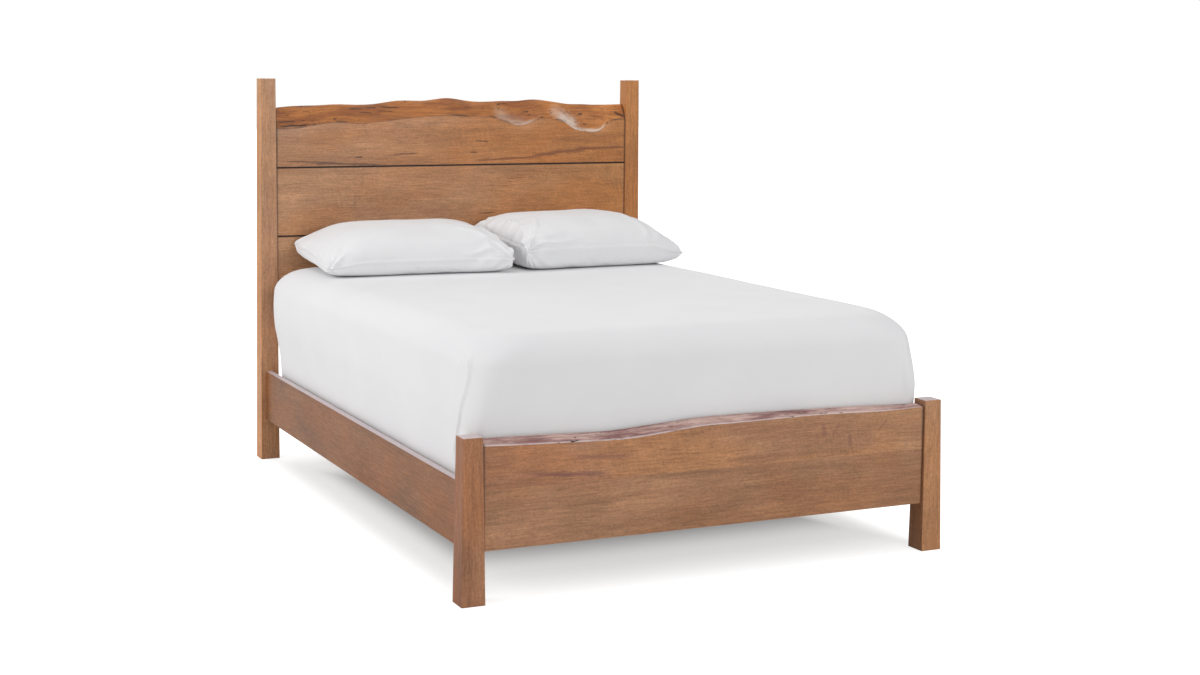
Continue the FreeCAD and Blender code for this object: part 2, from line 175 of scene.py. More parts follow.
def new_material(name):
    """A new material, its nodes and its surface shader."""
    material = bpy.data.materials.new(name)
    material.use_nodes = True
    return material, material.node_tree, material.node_tree.nodes["Principled BSDF"]


def object_place(tree):
    return shader_node("TexCoord", {}, tree).outputs["Object"]


def object_axis(tree, axis, kind="Object"):
    """One object coordinate as a shader value, or how far the surface's normal faces along that axis."""
    place = shader_node("TexCoord", {}, tree).outputs[kind]
    return shader_node("SeparateXYZ", {0: place}).outputs[axis]


# Wood tones are light, dark and warm
brown = ((0.55, 0.29, 0.148), (0.385, 0.186, 0.092), (0.5, 0.226, 0.092))
golden = ((0.59, 0.244, 0.074), (0.42, 0.158, 0.044), (0.53, 0.188, 0.046))
sapwood = ((0.58, 0.31, 0.165), (0.425, 0.205, 0.105), (0.54, 0.246, 0.105))
russet = ((0.47, 0.222, 0.11), (0.33, 0.142, 0.068), (0.43, 0.172, 0.068))
grain_turns = {"X": (0.0, 0.0, 0.0), "Y": (0.0, 0.0, -pi / 2), "Z": (0.0, pi / 2, 0.0)}


def stained_wood(name, along, shift, tones=brown, curl=0.3, flecks=0.5, lacquer=0.12):
    """Wood whose grain runs along one axis. The shift moves the pattern from piece to piece."""
    material, tree, surface = new_material(name)
    turn = {"Vector": object_place(tree), "Location": shift, "Rotation": grain_turns[along]}
    look = {"Vector": shader_node("Mapping", turn).outputs[0], "Curl": curl, "Flecks": flecks}
    look.update(zip(("Light", "Dark", "Warm"), tones))
    look = shader_node("Group", look, node_tree=grain).outputs
    pores = {"Height": look["Height"], "Strength": 0.35, "Distance": 0.0004}
    set_inputs(surface, {
        "Base Color": look["Color"], "Roughness": look["Roughness"],
        "Normal": shader_node("Bump", pores).outputs[0],
        "Specular IOR Level": 0.4, "Coat Weight": lacquer, "Coat Roughness": 0.25,
    })
    return material


def overpaint(mask, colour, blend="MIX"):
    """Lays a colour over a material's own one where one of its values, the mask, says."""
    tree = mask.id_data
    base = tree.nodes["Principled BSDF"].inputs["Base Color"]
    tree.links.new(blended(mask, base.links[0].from_socket, colour, blend), base)


def finish_node(node, material):
    """Gives a carried-over solid its material."""
    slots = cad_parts[node].data.materials
    slots.clear()
    slots.append(material)


def painted_top_sheen(material):
    """Upper faces are painted pale lilac, a painted sheen on the lacquer."""
    facing = object_axis(material.node_tree, 2, "Normal")
    overpaint(ramped(facing, 0.8, 0.95, 0.0, 0.8), (0.7, 0.62, 0.65))


for node, shift, tones, left_tone in (
    ("headboard_post_left", (0.3, 1.9, 0.0), sapwood, (1.18, 1.1, 0.9)),
    ("headboard_post_right", (5.1, 0.4, 2.0), golden, None),
    ("footboard_post_left", (9.7, 3.1, 1.0), russet, (0.75, 0.68, 0.62)),
    ("footboard_post_right", (2.2, 7.3, 4.0), brown, (0.78, 0.74, 0.78)),
):
    material = stained_wood(node + "_maple", "Z", shift, tones, curl=0.1)
    # Each post's left face is recoloured by its normal: the head post's lighter and oranger, the foot posts'
    # darker, as painted shade.
    if left_tone:
        left_face = ramped(object_axis(material.node_tree, 0, "Normal"), -0.6, -0.95)
        overpaint(left_face, left_tone, "MULTIPLY")
    # Upper faces get a painted sheen.
    painted_top_sheen(material)
    finish_node(node, material)


# Headboard planks
# Two wide maple planks with long grain lie one over the other, tenoned into the posts.
# Loose splines in their edges keep narrow seams between them, and a rail ties the posts below.
# A streak's mask, which marks mineral streaks and bark scraps, and also painted highlights.
streak_inputs = {"Vector": "Vector", "Start": "Vector", "End": "Vector", "Width": "Float"}
streak, given, result = new_group("mineral_and_highlight_streak", streak_inputs, {"Mask": "Float"})


def dotted(first, second):
    return shader_node("VectorMath", {0: first, 1: second}, operation="DOT_PRODUCT").outputs["Value"]


run = vectored("SUBTRACT", given["End"], given["Start"])
reached = vectored("SUBTRACT", given["Vector"], given["Start"])
along = calculated("DIVIDE", dotted(reached, run), dotted(run, run))
along = shader_node("Clamp", {0: along}).outputs[0]
on_line = shader_node("VectorMath", {0: run, 3: along}, operation="SCALE").outputs[0]
aside = vectored("MULTIPLY", vectored("SUBTRACT", reached, on_line), (1.0, 0.0, 1.0))
aside = shader_node("VectorMath", {0: aside}, operation="LENGTH").outputs["Value"]
ragged = stretched_noise(given["Vector"], 18.0, 260.0, 3.0, 0.7)
aside = product(aside, ramped(ragged, 0.3, 0.7, 0.5, 2.2))
thin = calculated("DIVIDE", aside, given["Width"])
tapered = product(ramped(along, 0.0, 0.25), ramped(along, 1.0, 0.75))
set_inputs(result, {"Mask": product(ramped(thin, 1.0, 0.2), tapered)})

# The dark brown marks real streaks and is also painted shade at board ends, in seams, along lips and in
# crevices; the near black is painted shadow in the seams.
stain_and_shade_dark = (0.075, 0.036, 0.022)
mineral_red = (0.205, 0.068, 0.025)
painted_seam_shadow = (0.012, 0.007, 0.005)
end_stain_and_shade = (0.009, 0.001)
seam_shade_reach = (0.0035, 0.0005)


def add_streaks(material, marks, colour=stain_and_shade_dark, where=1.0):
    """Streaks on a board, each with its two ends (x, z), width and strength: mineral streaks, grain checks
    and bark scraps, and also painted highlights.
    """
    for start, end, width, strength in marks:
        mark = shader_node("Group", {
            "Vector": object_place(material.node_tree), "Start": (start[0], 0.0, start[1]),
            "End": (end[0], 0.0, end[1]), "Width": width,
        }, node_tree=streak).outputs["Mask"]
        overpaint(product(mark, strength, where), colour)


def board_end_stain_and_shade(material, reach):
    """Stain gathers and painted shade darkens where a board's ends meet the posts."""
    away = calculated("ABSOLUTE", object_axis(material.node_tree, 0))
    overpaint(ramped(away, reach - end_stain_and_shade[0], reach - end_stain_and_shade[1], 0.0, 0.9), stain_and_shade_dark)


def shaded_seam_edges(material, node):
    """Painted shade darkens a plank's long edges, in the seams."""
    low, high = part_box(node)
    height = object_axis(material.node_tree, 2)
    above = ramped(height, high.z - seam_shade_reach[0], high.z - seam_shade_reach[1], 0.0, 0.85)
    below = ramped(height, low.z + seam_shade_reach[0], low.z + seam_shade_reach[1], 0.0, 0.85)
    overpaint(calculated("MAXIMUM", above, below), stain_and_shade_dark)


def toned_end(material, start, end, tone):
    """A board's colour drifts towards one end, as from sapwood to heartwood."""
    overpaint(ramped(object_axis(material.node_tree, 0), start, end), tone, "MULTIPLY")


headboard_reach = 0.7435
for node, shift in (
    ("headboard_lower_plank", (0.0, 3.3, 5.2)),
    ("headboard_middle_plank", (4.7, 0.0, 1.3)),
    ("headboard_bottom_rail", (8.1, 2.0, 0.5)),
):
    material = stained_wood(node + "_maple", "X", shift, curl=0.5)
    toned_end(material, -0.3, 0.8, (1.05, 0.91, 0.61))
    board_end_stain_and_shade(material, headboard_reach)
    shaded_seam_edges(material, node)
    finish_node(node, material)
middle_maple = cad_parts["headboard_middle_plank"].data.materials[0]
add_streaks(middle_maple, [((0.204, 1.062), (0.305, 1.066), 0.004, 0.7)], mineral_red)
add_streaks(middle_maple, [((0.074, 0.926), (0.169, 0.926), 0.004, 0.8)])
# The splines are stained near black, a painted shadow deep in the seams.
painted_shadow_spline = stained_wood("painted_shadow_spline", "X", (1.0, 1.0, 1.0), (painted_seam_shadow,) * 3, 0.1, 0.0)
for node in ("headboard_spline_lower", "headboard_spline_upper", "footboard_spline"):
    finish_node(node, painted_shadow_spline)


# Headboard live edge
# The top plank keeps the outside of the tree: below the bark its edge rolls back from the sawn face.
# Two scoops droop at the right, with painted highlights on their lips and a painted sheen on them, and scraps
# of bark stay in the hollows.
def reach_to_post(post, y, z):
    """How far a post's inner face stands from the bed's middle at one height."""
    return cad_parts[post].ray_cast(Vector((0.0, y, z)), Vector((1.0, 0.0, 0.0)))[1].x


def limited(value, low, high):
    return max(low, min(high, value))


def share_of(value, low, high):
    """How far a value has come on the way from low to high, from 0 to 1."""
    return limited((value - low) / (high - low), 0.0, 1.0)


def open_edges(bm):
    return [edge for edge in bm.edges if edge.is_boundary]


def finished_mesh(name, bm):
    mesh = bpy.data.meshes.new(name)
    bm.to_mesh(mesh)
    bm.free()
    return mesh


scoop_drop = (0.075, 0.1)
just_inside = 0.0002
along_count = 420
face_rows = 4
back_rows = 2
sharp_edges = radians(40)


def live_edge_mesh(name, node, post, relief, roll_count):
    """A board with the solid's own edge lines, and between them a roll or a flat scoop with small bumps."""
    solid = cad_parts[node]
    low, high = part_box(node)
    thickness = high.y - low.y
    low_reach = reach_to_post(post, low.y + just_inside, low.z)
    high_reach = reach_to_post(post, low.y + just_inside, high.z)
    around = face_rows + roll_count + back_rows + 1

    def edge_heights(share):
        """The sawn face's upper line and the crest, where a place along the board looks down on them."""
        x = share * (low_reach - just_inside)
        down = Vector((0.0, 0.0, -1.0))
        lines = (low.y + just_inside, high.y - just_inside)
        return [solid.ray_cast(Vector((x, y, high.z + thickness)), down)[1].z for y in lines]

    bm = bmesh.new()
    bmesh.ops.create_grid(bm, x_segments=along_count, y_segments=around, size=0.5)
    wane, drop, flank = [bm.verts.layers.float.new(name) for name in ("wane", "drop", "flank")]
    shares = sorted({round(2 * vert.co.x, 6) for vert in bm.verts})
    heights = {share: edge_heights(share) for share in shares}
    slopes = {}
    for before, share, after in zip(shares[:1] + shares, shares, shares[1:] + shares[-1:]):
        slopes[share] = (heights[before][0] - heights[after][0]) / ((after - before) * low_reach)
    for vert in bm.verts:
        share = round(2 * vert.co.x, 6)
        row = round((vert.co.y + 0.5) * around)
        face, crest = heights[share]
        if row <= face_rows or row == around:
            y = low.y
            z = low.z + (face - low.z) * (row % around) / face_rows
        elif row <= face_rows + roll_count:
            step = (row - face_rows) / roll_count
            y = low.y + thickness * step
            scooped = share_of(crest - face, *scoop_drop)
            rise = scooped * step + (1 - scooped) * sin(pi / 2 * step)
            z = face + (crest - face) * rise
            vert[wane] = step
            spot = Vector((share * 9.0, step * 1.6, relief * 40.0))
            bump = noise(spot) + 0.5 * noise(spot * 2.7) + 0.3 * noise(spot * 6.1)
            y += relief * bump * sin(pi * step)
            z += 0.5 * relief * bump * sin(pi * min(1.0, 1.6 * step))
        else:
            y = high.y
            z = low.z + (crest - low.z) * (around - 1 - row) / back_rows
        vert[drop] = crest - face
        vert[flank] = max(0.0, slopes[share])
        reach = low_reach + (high_reach - low_reach) * (z - low.z) / (high.z - low.z)
        vert.co = (share * reach, y, z)
    bmesh.ops.remove_doubles(bm, verts=bm.verts, dist=1e-6)
    bmesh.ops.holes_fill(bm, edges=open_edges(bm), sides=0)
    bmesh.ops.recalc_face_normals(bm, faces=bm.faces)
    mesh = finished_mesh(name, bm)
    mesh.shade_smooth()
    mesh.set_sharp_from_angle(angle=sharp_edges)
    return mesh


scene = bpy.context.scene


def placed(name, data):
    """A new object in the scene."""
    thing = bpy.data.objects.new(name, data)
    scene.collection.objects.link(thing)
    return thing


def new_piece(mesh, material, body, slot, *replaced):
    """A finished piece that moves with a body and stands for solids of the frame."""
    mesh.materials.append(material)
    piece = placed(mesh.name, mesh)
    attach(piece, body)
    if replaced:
        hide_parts(*replaced)
    return piece


def attribute(tree, name):
    return shader_node("Attribute", {}, tree, attribute_name=name).outputs["Fac"]


def rolled_edge(tree):
    """How far up the rolled edge a place lies, from the sawn face to the crest. The plain back has none."""
    return product(attribute(tree, "wane"), ramped(object_axis(tree, 1, "Normal"), 0.95, 0.8))


bark_dark = (0.035, 0.017, 0.01)


def live_edge_paint(material, shift, edge_light, edge_dark, painted_lip_highlight, flank_range, lip_drop, outline):
    """The rolled edge is warmer than the sawn face, with scraps of bark; painted shade darkens its crevices
    and a thin line at the lip, and painted highlights make its lips pale.
    """
    tree = material.node_tree
    place = vectored("ADD", object_place(tree), shift)
    wane = rolled_edge(tree)
    drop = attribute(tree, "drop")
    mottle = stretched_noise(place, 5.0, 26.0, 5.0, 0.65)
    edge_colour = blended(ramped(mottle, 0.36, 0.64), edge_light, edge_dark)
    layers = stretched_noise(place, 4.0, 150.0, 3.0, 0.6)
    layers = grey(ramped(layers, 0.3, 0.7, 0.82, 1.16))
    edge_colour = blended(1.0, edge_colour, layers, "MULTIPLY")
    # A noise breaks up the painted highlights: broad ones on steep flanks, narrow ones along the lip where
    # the edge drops far.
    highlight_breakup = ramped(stretched_noise(place, 14.0, 40.0, 4.0, 0.7), 0.25, 0.7)
    flank = ramped(attribute(tree, "flank"), *flank_range)
    broad = product(flank, ramped(wane, 0.75, 0.05), highlight_breakup, 0.7)
    narrow = product(ramped(drop, *lip_drop), ramped(wane, 0.16, 0.02))
    narrow = product(narrow, ramped(highlight_breakup, 0.0, 0.6, 0.25, 0.8))
    edge_colour = blended(calculated("MAXIMUM", broad, narrow), edge_colour, painted_lip_highlight)
    scraps = ramped(stretched_noise(place, 40.0, 150.0, 3.0, 0.65), 0.57, 0.66)
    scrap_places = ramped(stretched_noise(place, 5.0, 16.0, 2.0), 0.48, 0.6)
    edge_colour = blended(product(scraps, scrap_places), edge_colour, bark_dark)
    overpaint(ramped(wane, 0.0, 0.03), edge_colour)
    # A thin painted shadow runs along the foot of the rolled edge, at the lip.
    painted_lip_shadow = product(ramped(wane, 0.0, 0.003), ramped(wane, 0.022, 0.01), outline)
    overpaint(painted_lip_shadow, stain_and_shade_dark)
    # Painted shade darkens the crevices low on the rolled edge, where it drops little.
    painted_crevice_shade = product(ramped(wane, 0.0, 0.02), ramped(wane, 0.1, 0.03))
    broken = ramped(stretched_noise(place, 9.0, 60.0, 3.0, 0.6), 0.46, 0.62, 0.0, 0.8)
    painted_crevice_shade = product(painted_crevice_shade, broken, ramped(drop, lip_drop[1], lip_drop[0]))
    overpaint(painted_crevice_shade, stain_and_shade_dark)


top_node = "headboard_live_edge_plank"
top_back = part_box(top_node)[1].y
top_shift = (2.7, 0.0, 7.7)
top_tones = ((0.51, 0.263, 0.134), (0.355, 0.167, 0.083), (0.46, 0.205, 0.083))
top_maple = stained_wood("headboard_live_edge_maple", "X", top_shift, top_tones, curl=0.45)
top_mesh = live_edge_mesh("headboard_live_edge", top_node, "headboard_post_right", 0.004, 18)
new_piece(top_mesh, top_maple, "frame", "stained_maple", top_node)
toned_end(top_maple, -0.7, 0.5, (1.12, 0.9, 0.52))
add_streaks(top_maple, [
    ((-0.741, 1.144), (-0.47, 1.137), 0.006, 0.75),
    ((-0.65, 1.135), (-0.278, 1.126), 0.005, 0.8),
    ((-0.433, 1.156), (-0.393, 1.157), 0.004, 0.9),
    ((-0.278, 1.165), (-0.161, 1.169), 0.004, 0.9),
    ((0.068, 1.217), (0.138, 1.213), 0.004, 0.9),
    ((0.047, 1.171), (0.086, 1.17), 0.004, 0.9),
])
shaded_seam_edges(top_maple, top_node)
rising_streak = [
    ((0.04, 1.134), (0.399, 1.152), 0.009, 0.8),
    ((0.299, 1.152), (0.596, 1.181), 0.014, 0.8),
    ((0.496, 1.181), (0.78, 1.184), 0.011, 0.8),
]
add_streaks(top_maple, rising_streak, mineral_red)
live_edge_paint(
    top_maple, top_shift, edge_light=(0.49, 0.178, 0.044), edge_dark=(0.295, 0.095, 0.027),
    painted_lip_highlight=(0.67, 0.53, 0.43), flank_range=(0.22, 0.5), lip_drop=(0.08, 0.098), outline=0.6,
)
tree = top_maple.node_tree
on_rolled_edge = ramped(rolled_edge(tree), 0.006, 0.022)
off_back = ramped(object_axis(tree, 1), top_back - 0.001, top_back - 0.004)
# A painted sheen lightens and cools the scoops at the right.
painted_sheen_scoops = product(on_rolled_edge, ramped(object_axis(tree, 0), 0.25, 0.45))
overpaint(painted_sheen_scoops, (1.18, 1.24, 1.28), "MULTIPLY")
bark_scraps = [
    ((-0.45, 1.345), (-0.39, 1.343), 0.004, 0.9),
    ((-0.385, 1.349), (-0.33, 1.347), 0.004, 0.8),
    ((-0.33, 1.352), (-0.23, 1.347), 0.004, 0.9),
    ((-0.41, 1.33), (-0.35, 1.329), 0.0035, 0.9),
    ((-0.34, 1.336), (-0.26, 1.333), 0.0035, 0.7),
    ((-0.744, 1.276), (-0.6, 1.284), 0.007, 0.9),
    ((-0.744, 1.292), (-0.66, 1.297), 0.004, 0.8),
    ((0.03, 1.35), (0.07, 1.349), 0.003, 0.7),
    ((0.69, 1.332), (0.748, 1.306), 0.01, 0.8),
    ((0.535, 1.32), (0.56, 1.321), 0.006, 0.9),
]
add_streaks(top_maple, bark_scraps, bark_dark, off_back)
# Pale streaks on the scoops are painted highlights.
painted_highlight_streaks = [
    ((0.15, 1.33), (0.33, 1.275), 0.034, 0.12),
    ((0.2, 1.3), (0.35, 1.278), 0.009, 0.2),
    ((0.395, 1.35), (0.545, 1.262), 0.042, 0.32),
    ((0.43, 1.32), (0.53, 1.268), 0.016, 0.28),
    ((0.49, 1.266), (0.64, 1.248), 0.012, 0.28),
]
add_streaks(top_maple, painted_highlight_streaks, (0.8, 0.7, 0.62), on_rolled_edge)
board_end_stain_and_shade(top_maple, headboard_reach)


# Footboard
# A plain board and a live-edge board are glued edge to edge with a spline between them.
# The upper board's edge rolls back to a low crest, with the inner bark's purple browns on it.
footboard_reach = 0.7425
purple_dark = (0.21, 0.084, 0.066)
lower_tones = ((0.47, 0.24, 0.122), (0.3, 0.142, 0.072), (0.4, 0.178, 0.078))
lower_maple = stained_wood("footboard_lower_maple", "X", (6.3, 2.2, 9.1), lower_tones)
toned_end(lower_maple, -0.1, -0.6, (1.12, 1.12, 1.14))
board_end_stain_and_shade(lower_maple, footboard_reach)
finish_node("footboard_lower_board", lower_maple)
foot_node = "footboard_live_edge_board"
foot_shift = (12.2, 0.0, 3.9)
foot_tones = (brown[0], (0.33, 0.15, 0.075), brown[2])
foot_maple = stained_wood("footboard_live_edge_maple", "X", foot_shift, foot_tones, curl=0.4)
foot_mesh = live_edge_mesh("footboard_live_edge", foot_node, "footboard_post_right", 0.002, 12)
new_piece(foot_mesh, foot_maple, "frame", "stained_maple", foot_node)
toned_end(foot_maple, -0.1, -0.6, (0.88, 0.82, 0.86))
purple_marks = [
    ((-0.64, 0.362), (-0.33, 0.338), 0.014, 0.6),
    ((-0.56, 0.352), (-0.42, 0.344), 0.006, 0.5),
    ((-0.48, 0.395), (-0.25, 0.385), 0.012, 0.45),
    ((0.373, 0.435), (0.381, 0.385), 0.016, 0.45),
    ((0.47, 0.4), (0.474, 0.345), 0.012, 0.45),
    ((0.405, 0.392), (0.436, 0.43), 0.006, 0.45),
    ((0.57, 0.39), (0.61, 0.43), 0.008, 0.4),
]
add_streaks(foot_maple, purple_marks, purple_dark)
# The footboard's lips get lilac painted highlights.
live_edge_paint(
    foot_maple, foot_shift, edge_light=(0.66, 0.45, 0.39), edge_dark=(0.25, 0.105, 0.098),
    painted_lip_highlight=(0.78, 0.7, 0.72), flank_range=(2.0, 3.0), lip_drop=(0.003, 0.01), outline=0.0,
)
board_end_stain_and_shade(foot_maple, footboard_reach)


# Side rails
# Two maple boards run from head to foot, hooked into the posts at both ends.
rail_tones = ((0.305, 0.13, 0.05), (0.198, 0.079, 0.029), (0.305, 0.107, 0.029))
for node, shift in (("side_rail_left", (3.3, 4.4, 0.0)), ("side_rail_right", (7.7, 1.2, 3.0))):
    material = stained_wood(node + "_maple", "Y", shift, rail_tones, flecks=0.3)
    # The top faces get a painted sheen.
    painted_top_sheen(material)
    finish_node(node, material)


# Hook and slot plates
# Zinc-plated steel plates are let into the rail ends and the posts.
zinc, tree, surface = new_material("zinc_plate")
spangle = stretched_noise(object_place(tree), 300.0, 300.0, 3.0, 0.6)
set_inputs(surface, {
    "Base Color": blended(spangle, (0.46, 0.46, 0.44), (0.66, 0.66, 0.65)),
    "Roughness": ramped(spangle, 0.2, 0.8, 0.3, 0.5), "Metallic": 1.0,
})
for end in ("headboard", "footboard"):
    for side in ("left", "right"):
        finish_node("hook_plate_" + end + "_" + side, zinc)
        finish_node("slot_plate_" + end + "_" + side, zinc)


# Cleats, slats and centre legs
# Plain pine, planed and left bare: cleats along the rails, slats across them and legs under the middle.
pine = ((0.66, 0.47, 0.27), (0.52, 0.33, 0.16), (0.6, 0.38, 0.18))


def bare_pine(name, along, shift):
    return stained_wood(name, along, shift, pine, curl=0.05, flecks=0.15, lacquer=0.0)


for side in ("left", "right"):
    finish_node("rail_cleat_" + side, bare_pine("cleat_pine_" + side, "Y", (len(side), 0.7, 0.2)))
slat_numbers = range(1, 8)
for number in slat_numbers:
    slat_pine = bare_pine("slat_pine_%d" % number, "X", (1.9 * number, 0.8 * number, 0.3))
    finish_node("slat_%d" % number, slat_pine)
for number in (1, 2):
    leg_pine = bare_pine("leg_pine_%d" % number, "Z", (2.3 * number, 0.4, 0.9 * number))
    finish_node("centre_leg_%d" % number, leg_pine)


# Slat screws
# Two countersunk steel screws hold each slat's end to the cleat, their heads flush with the wood.
head_radius = 0.0045
head_proud = 0.0002
head_depth = 0.0016
head_taper = 0.6
recess_share = 0.55
recess_sink = 0.6
screw_inset_x = 0.013
screw_spread_y = 0.026


def screw_head(bm, place):
    """A countersunk head with a round recess for the driver."""
    made = bmesh.ops.create_cone(
        bm, cap_ends=True, segments=16, radius1=head_radius * head_taper, radius2=head_radius,
        depth=head_depth, matrix=Matrix.Translation(place - Vector((0.0, 0.0, head_depth / 2))),
    )
    faces = {face for vert in made["verts"] for face in vert.link_faces}
    top = max(faces, key=lambda face: face.calc_center_median().z)
    bmesh.ops.inset_individual(bm, faces=[top], thickness=head_radius * recess_share)
    bmesh.ops.translate(bm, verts=top.verts, vec=(0.0, 0.0, -head_depth * recess_sink))


screw_bm = bmesh.new()
for number in slat_numbers:
    low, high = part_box("slat_%d" % number)
    for x in (low.x + screw_inset_x, high.x - screw_inset_x):
        for y in (-screw_spread_y, screw_spread_y):
            screw_head(screw_bm, Vector((x, (low.y + high.y) / 2 + y, high.z + head_proud)))
new_piece(finished_mesh("slat_screws", screw_bm), zinc, "frame", "steel")


# Box spring
# A wooden frame with springs is covered in woven ticking, with a corded welt round its top and bottom.
def edge_spread(value, evenness=0.25):
    """Grid places drawn closer together towards both ends."""
    return evenness * value + (1 - evenness) * sin(pi / 2 * value)


def outline_point(u, v, half_x, half_y, radii):
    """A point of a rounded rectangle for one of the square from -1 to 1. The foot's radius comes first."""
    radius = radii[0] if v < 0 else radii[1]
    x = u * half_x
    y = v * half_y
    core_x = limited(x, radius - half_x, half_x - radius)
    core_y = limited(y, radius - half_y, half_y - radius)
    away = Vector((x - core_x, y - core_y))
    if abs(away.x) > 1e-9 and abs(away.y) > 1e-9:
        away = away.normalized() * radius
    return Vector((core_x + away.x, core_y + away.y))


def block_mesh(name, rows, middle_y, counts, closed, spreads=(edge_spread, edge_spread), shaping=None):
    """A soft block: a flat top, then rings down its sides through rows of half sizes, radii and height."""
    bm = bmesh.new()
    bmesh.ops.create_grid(bm, x_segments=counts[0], y_segments=counts[1], size=1.0)
    places = {}
    half_x, half_y, radii, top = rows[0]
    for vert in bm.verts:
        u = spreads[0](vert.co.x)
        v = spreads[1](vert.co.y)
        ring = max(abs(u), abs(v))
        point = Vector((u * half_x, v * half_y))
        if ring > 0.5:
            rounded = outline_point(u / ring, v / ring, half_x, half_y, radii) * ring
            point = point.lerp(rounded, (2 * ring - 1) ** 2)
        places[vert] = (u, v)
        vert.co = (point.x, point.y + middle_y, top)

    def spot(vert):
        return tuple(round(c, 7) for c in vert.co)

    for half_x, half_y, radii, z in rows[1:]:
        rim = open_edges(bm)
        before = {spot(vert): places[vert] for edge in rim for vert in edge.verts}
        grown = bmesh.ops.extrude_edge_only(bm, edges=rim)["geom"]
        for vert in [item for item in grown if isinstance(item, bmesh.types.BMVert)]:
            u, v = before[spot(vert)]
            places[vert] = (u, v)
            ring = max(abs(u), abs(v))
            point = outline_point(u / ring, v / ring, half_x, half_y, radii)
            vert.co = (point.x, point.y + middle_y, z)
    if closed:
        bmesh.ops.holes_fill(bm, edges=open_edges(bm), sides=0)
    bmesh.ops.recalc_face_normals(bm, faces=bm.faces)
    if shaping:
        bm.normal_update()
        moves = [(vert, shaping(vert.co.copy(), vert.normal.copy())) for vert in bm.verts]
        for vert, place in moves:
            vert.co = place
    mesh = finished_mesh(name, bm)
    mesh.shade_smooth()
    return mesh


weave_inputs = {"Vector": "Vector", "Light": "Color", "Dark": "Color", "Threads": "Float"}
weave, given, result = new_group("plain_weave", weave_inputs, {"Color": "Color", "Height": "Float"})
place = given["Vector"]
threads = shader_node("VectorMath", {0: place, 3: given["Threads"]}, operation="SCALE").outputs[0]
cells = shader_node("TexChecker", {"Vector": threads, "Scale": 1.0}).outputs["Fac"]
slubs = stretched_noise(place, 60.0, 900.0, 2.0)
soft = shader_node("TexNoise", {"Vector": place, "Scale": 6.0, "Detail": 3.0}).outputs["Fac"]
colour = blended(ramped(soft, 0.3, 0.7), given["Light"], given["Dark"])
set_inputs(result, {"Color": colour, "Height": calculated("ADD", product(cells, 0.5), slubs)})


def woven_cloth(name, light, dark, threads, bump):
    """Woven cloth with a soft sheen."""
    material, tree, surface = new_material(name)
    look = {"Vector": object_place(tree), "Light": light, "Dark": dark, "Threads": threads}
    look = shader_node("Group", look, node_tree=weave).outputs
    weave_bump = {"Height": look["Height"], "Strength": bump, "Distance": 0.0003}
    set_inputs(surface, {
        "Base Color": look["Color"], "Normal": shader_node("Bump", weave_bump).outputs[0],
        "Roughness": 0.85, "Specular IOR Level": 0.25, "Sheen Weight": 0.15, "Sheen Roughness": 0.5,
    })
    return material


def half_sizes(low, high):
    return (high.x - low.x) / 2, (high.y - low.y) / 2


spring_low, spring_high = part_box("box_spring")
bedding_y = (spring_low.y + spring_high.y) / 2
spring_half_x, spring_half_y = half_sizes(spring_low, spring_high)
welt = 0.004


def welt_rows(half_x, half_y, radii, z):
    """A corded welt that stands proud of a side, from its upper edge to its lower one."""
    rows = []
    for step in range(5):
        angle = pi * step / 4
        out = welt * sin(angle)
        rounded = [radius + out for radius in radii]
        rows.append((half_x + out, half_y + out, rounded, z + welt * cos(angle)))
    return rows


cover_size = (spring_half_x - welt, spring_half_y - welt, (0.088, 0.088))
face_inset = 0.02
face_size = (cover_size[0] - face_inset, cover_size[1] - face_inset, cover_size[2])
spring_rows = [(*face_size, spring_high.z - 0.001)]
spring_rows += welt_rows(*cover_size, spring_high.z - 2 * welt)
spring_rows += welt_rows(*cover_size, spring_low.z + 2 * welt)
spring_rows.append((*face_size, spring_low.z))
spring_mesh = block_mesh("box_spring_cover", spring_rows, bedding_y, (48, 64), True)
spring_cloth = woven_cloth("foundation_ticking", (0.62, 0.63, 0.65), (0.52, 0.53, 0.56), 1400.0, 0.4)
box_spring = new_piece(spring_mesh, spring_cloth, "foundation", "foundation_cover", "box_spring")


# Mattress
# A deep innerspring mattress with rolled edges and a corded welt low on its sides, under the sheet.
mattress_low, mattress_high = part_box("mattress")
half_x, half_y = half_sizes(mattress_low, mattress_high)
roll_reach = 0.1
roll_drop = 0.085
roll_steps = 16
belly_z = mattress_low.z + 0.08


def corner_radii(z):
    """The sheet's foot corners are tight over the rails and open towards the top. The head ones stay even."""
    share = share_of(z, 0.48, 0.72)
    return 0.045 + 0.11 * share ** 1.5, 0.085


def rolled_rows(half_x, half_y, top, inward):
    """Rows from a block's top edge over its soft roll to its straight side."""
    rows = []
    for step in range(roll_steps + 1):
        angle = pi / 2 * (1 - step / roll_steps)
        inset = roll_reach * (1 - cos(angle)) + inward
        z = top - roll_drop * (1 - sin(angle))
        rows.append((half_x - inset, half_y - inset, corner_radii(z), z))
    return rows


mattress_inward = 0.006
welt_inward = 0.028
side_radii = (0.075, 0.08)
mattress_rows = rolled_rows(half_x, half_y, mattress_high.z - mattress_inward, mattress_inward)
mattress_rows.append((half_x - 0.008, half_y - 0.008, side_radii, belly_z))
mattress_rows += welt_rows(half_x - welt_inward, half_y - welt_inward, side_radii, mattress_low.z + 2 * welt)
mattress_rows.append((half_x - 0.05, half_y - 0.05, (0.07, 0.07), mattress_low.z))
mattress_mesh = block_mesh("mattress_cover", mattress_rows, bedding_y, (48, 64), True)
mattress_cloth = woven_cloth("mattress_ticking", (0.74, 0.73, 0.7), (0.68, 0.67, 0.64), 1200.0, 0.4)
mattress = new_piece(mattress_mesh, mattress_cloth, "mattress", "mattress_ticking", "mattress")


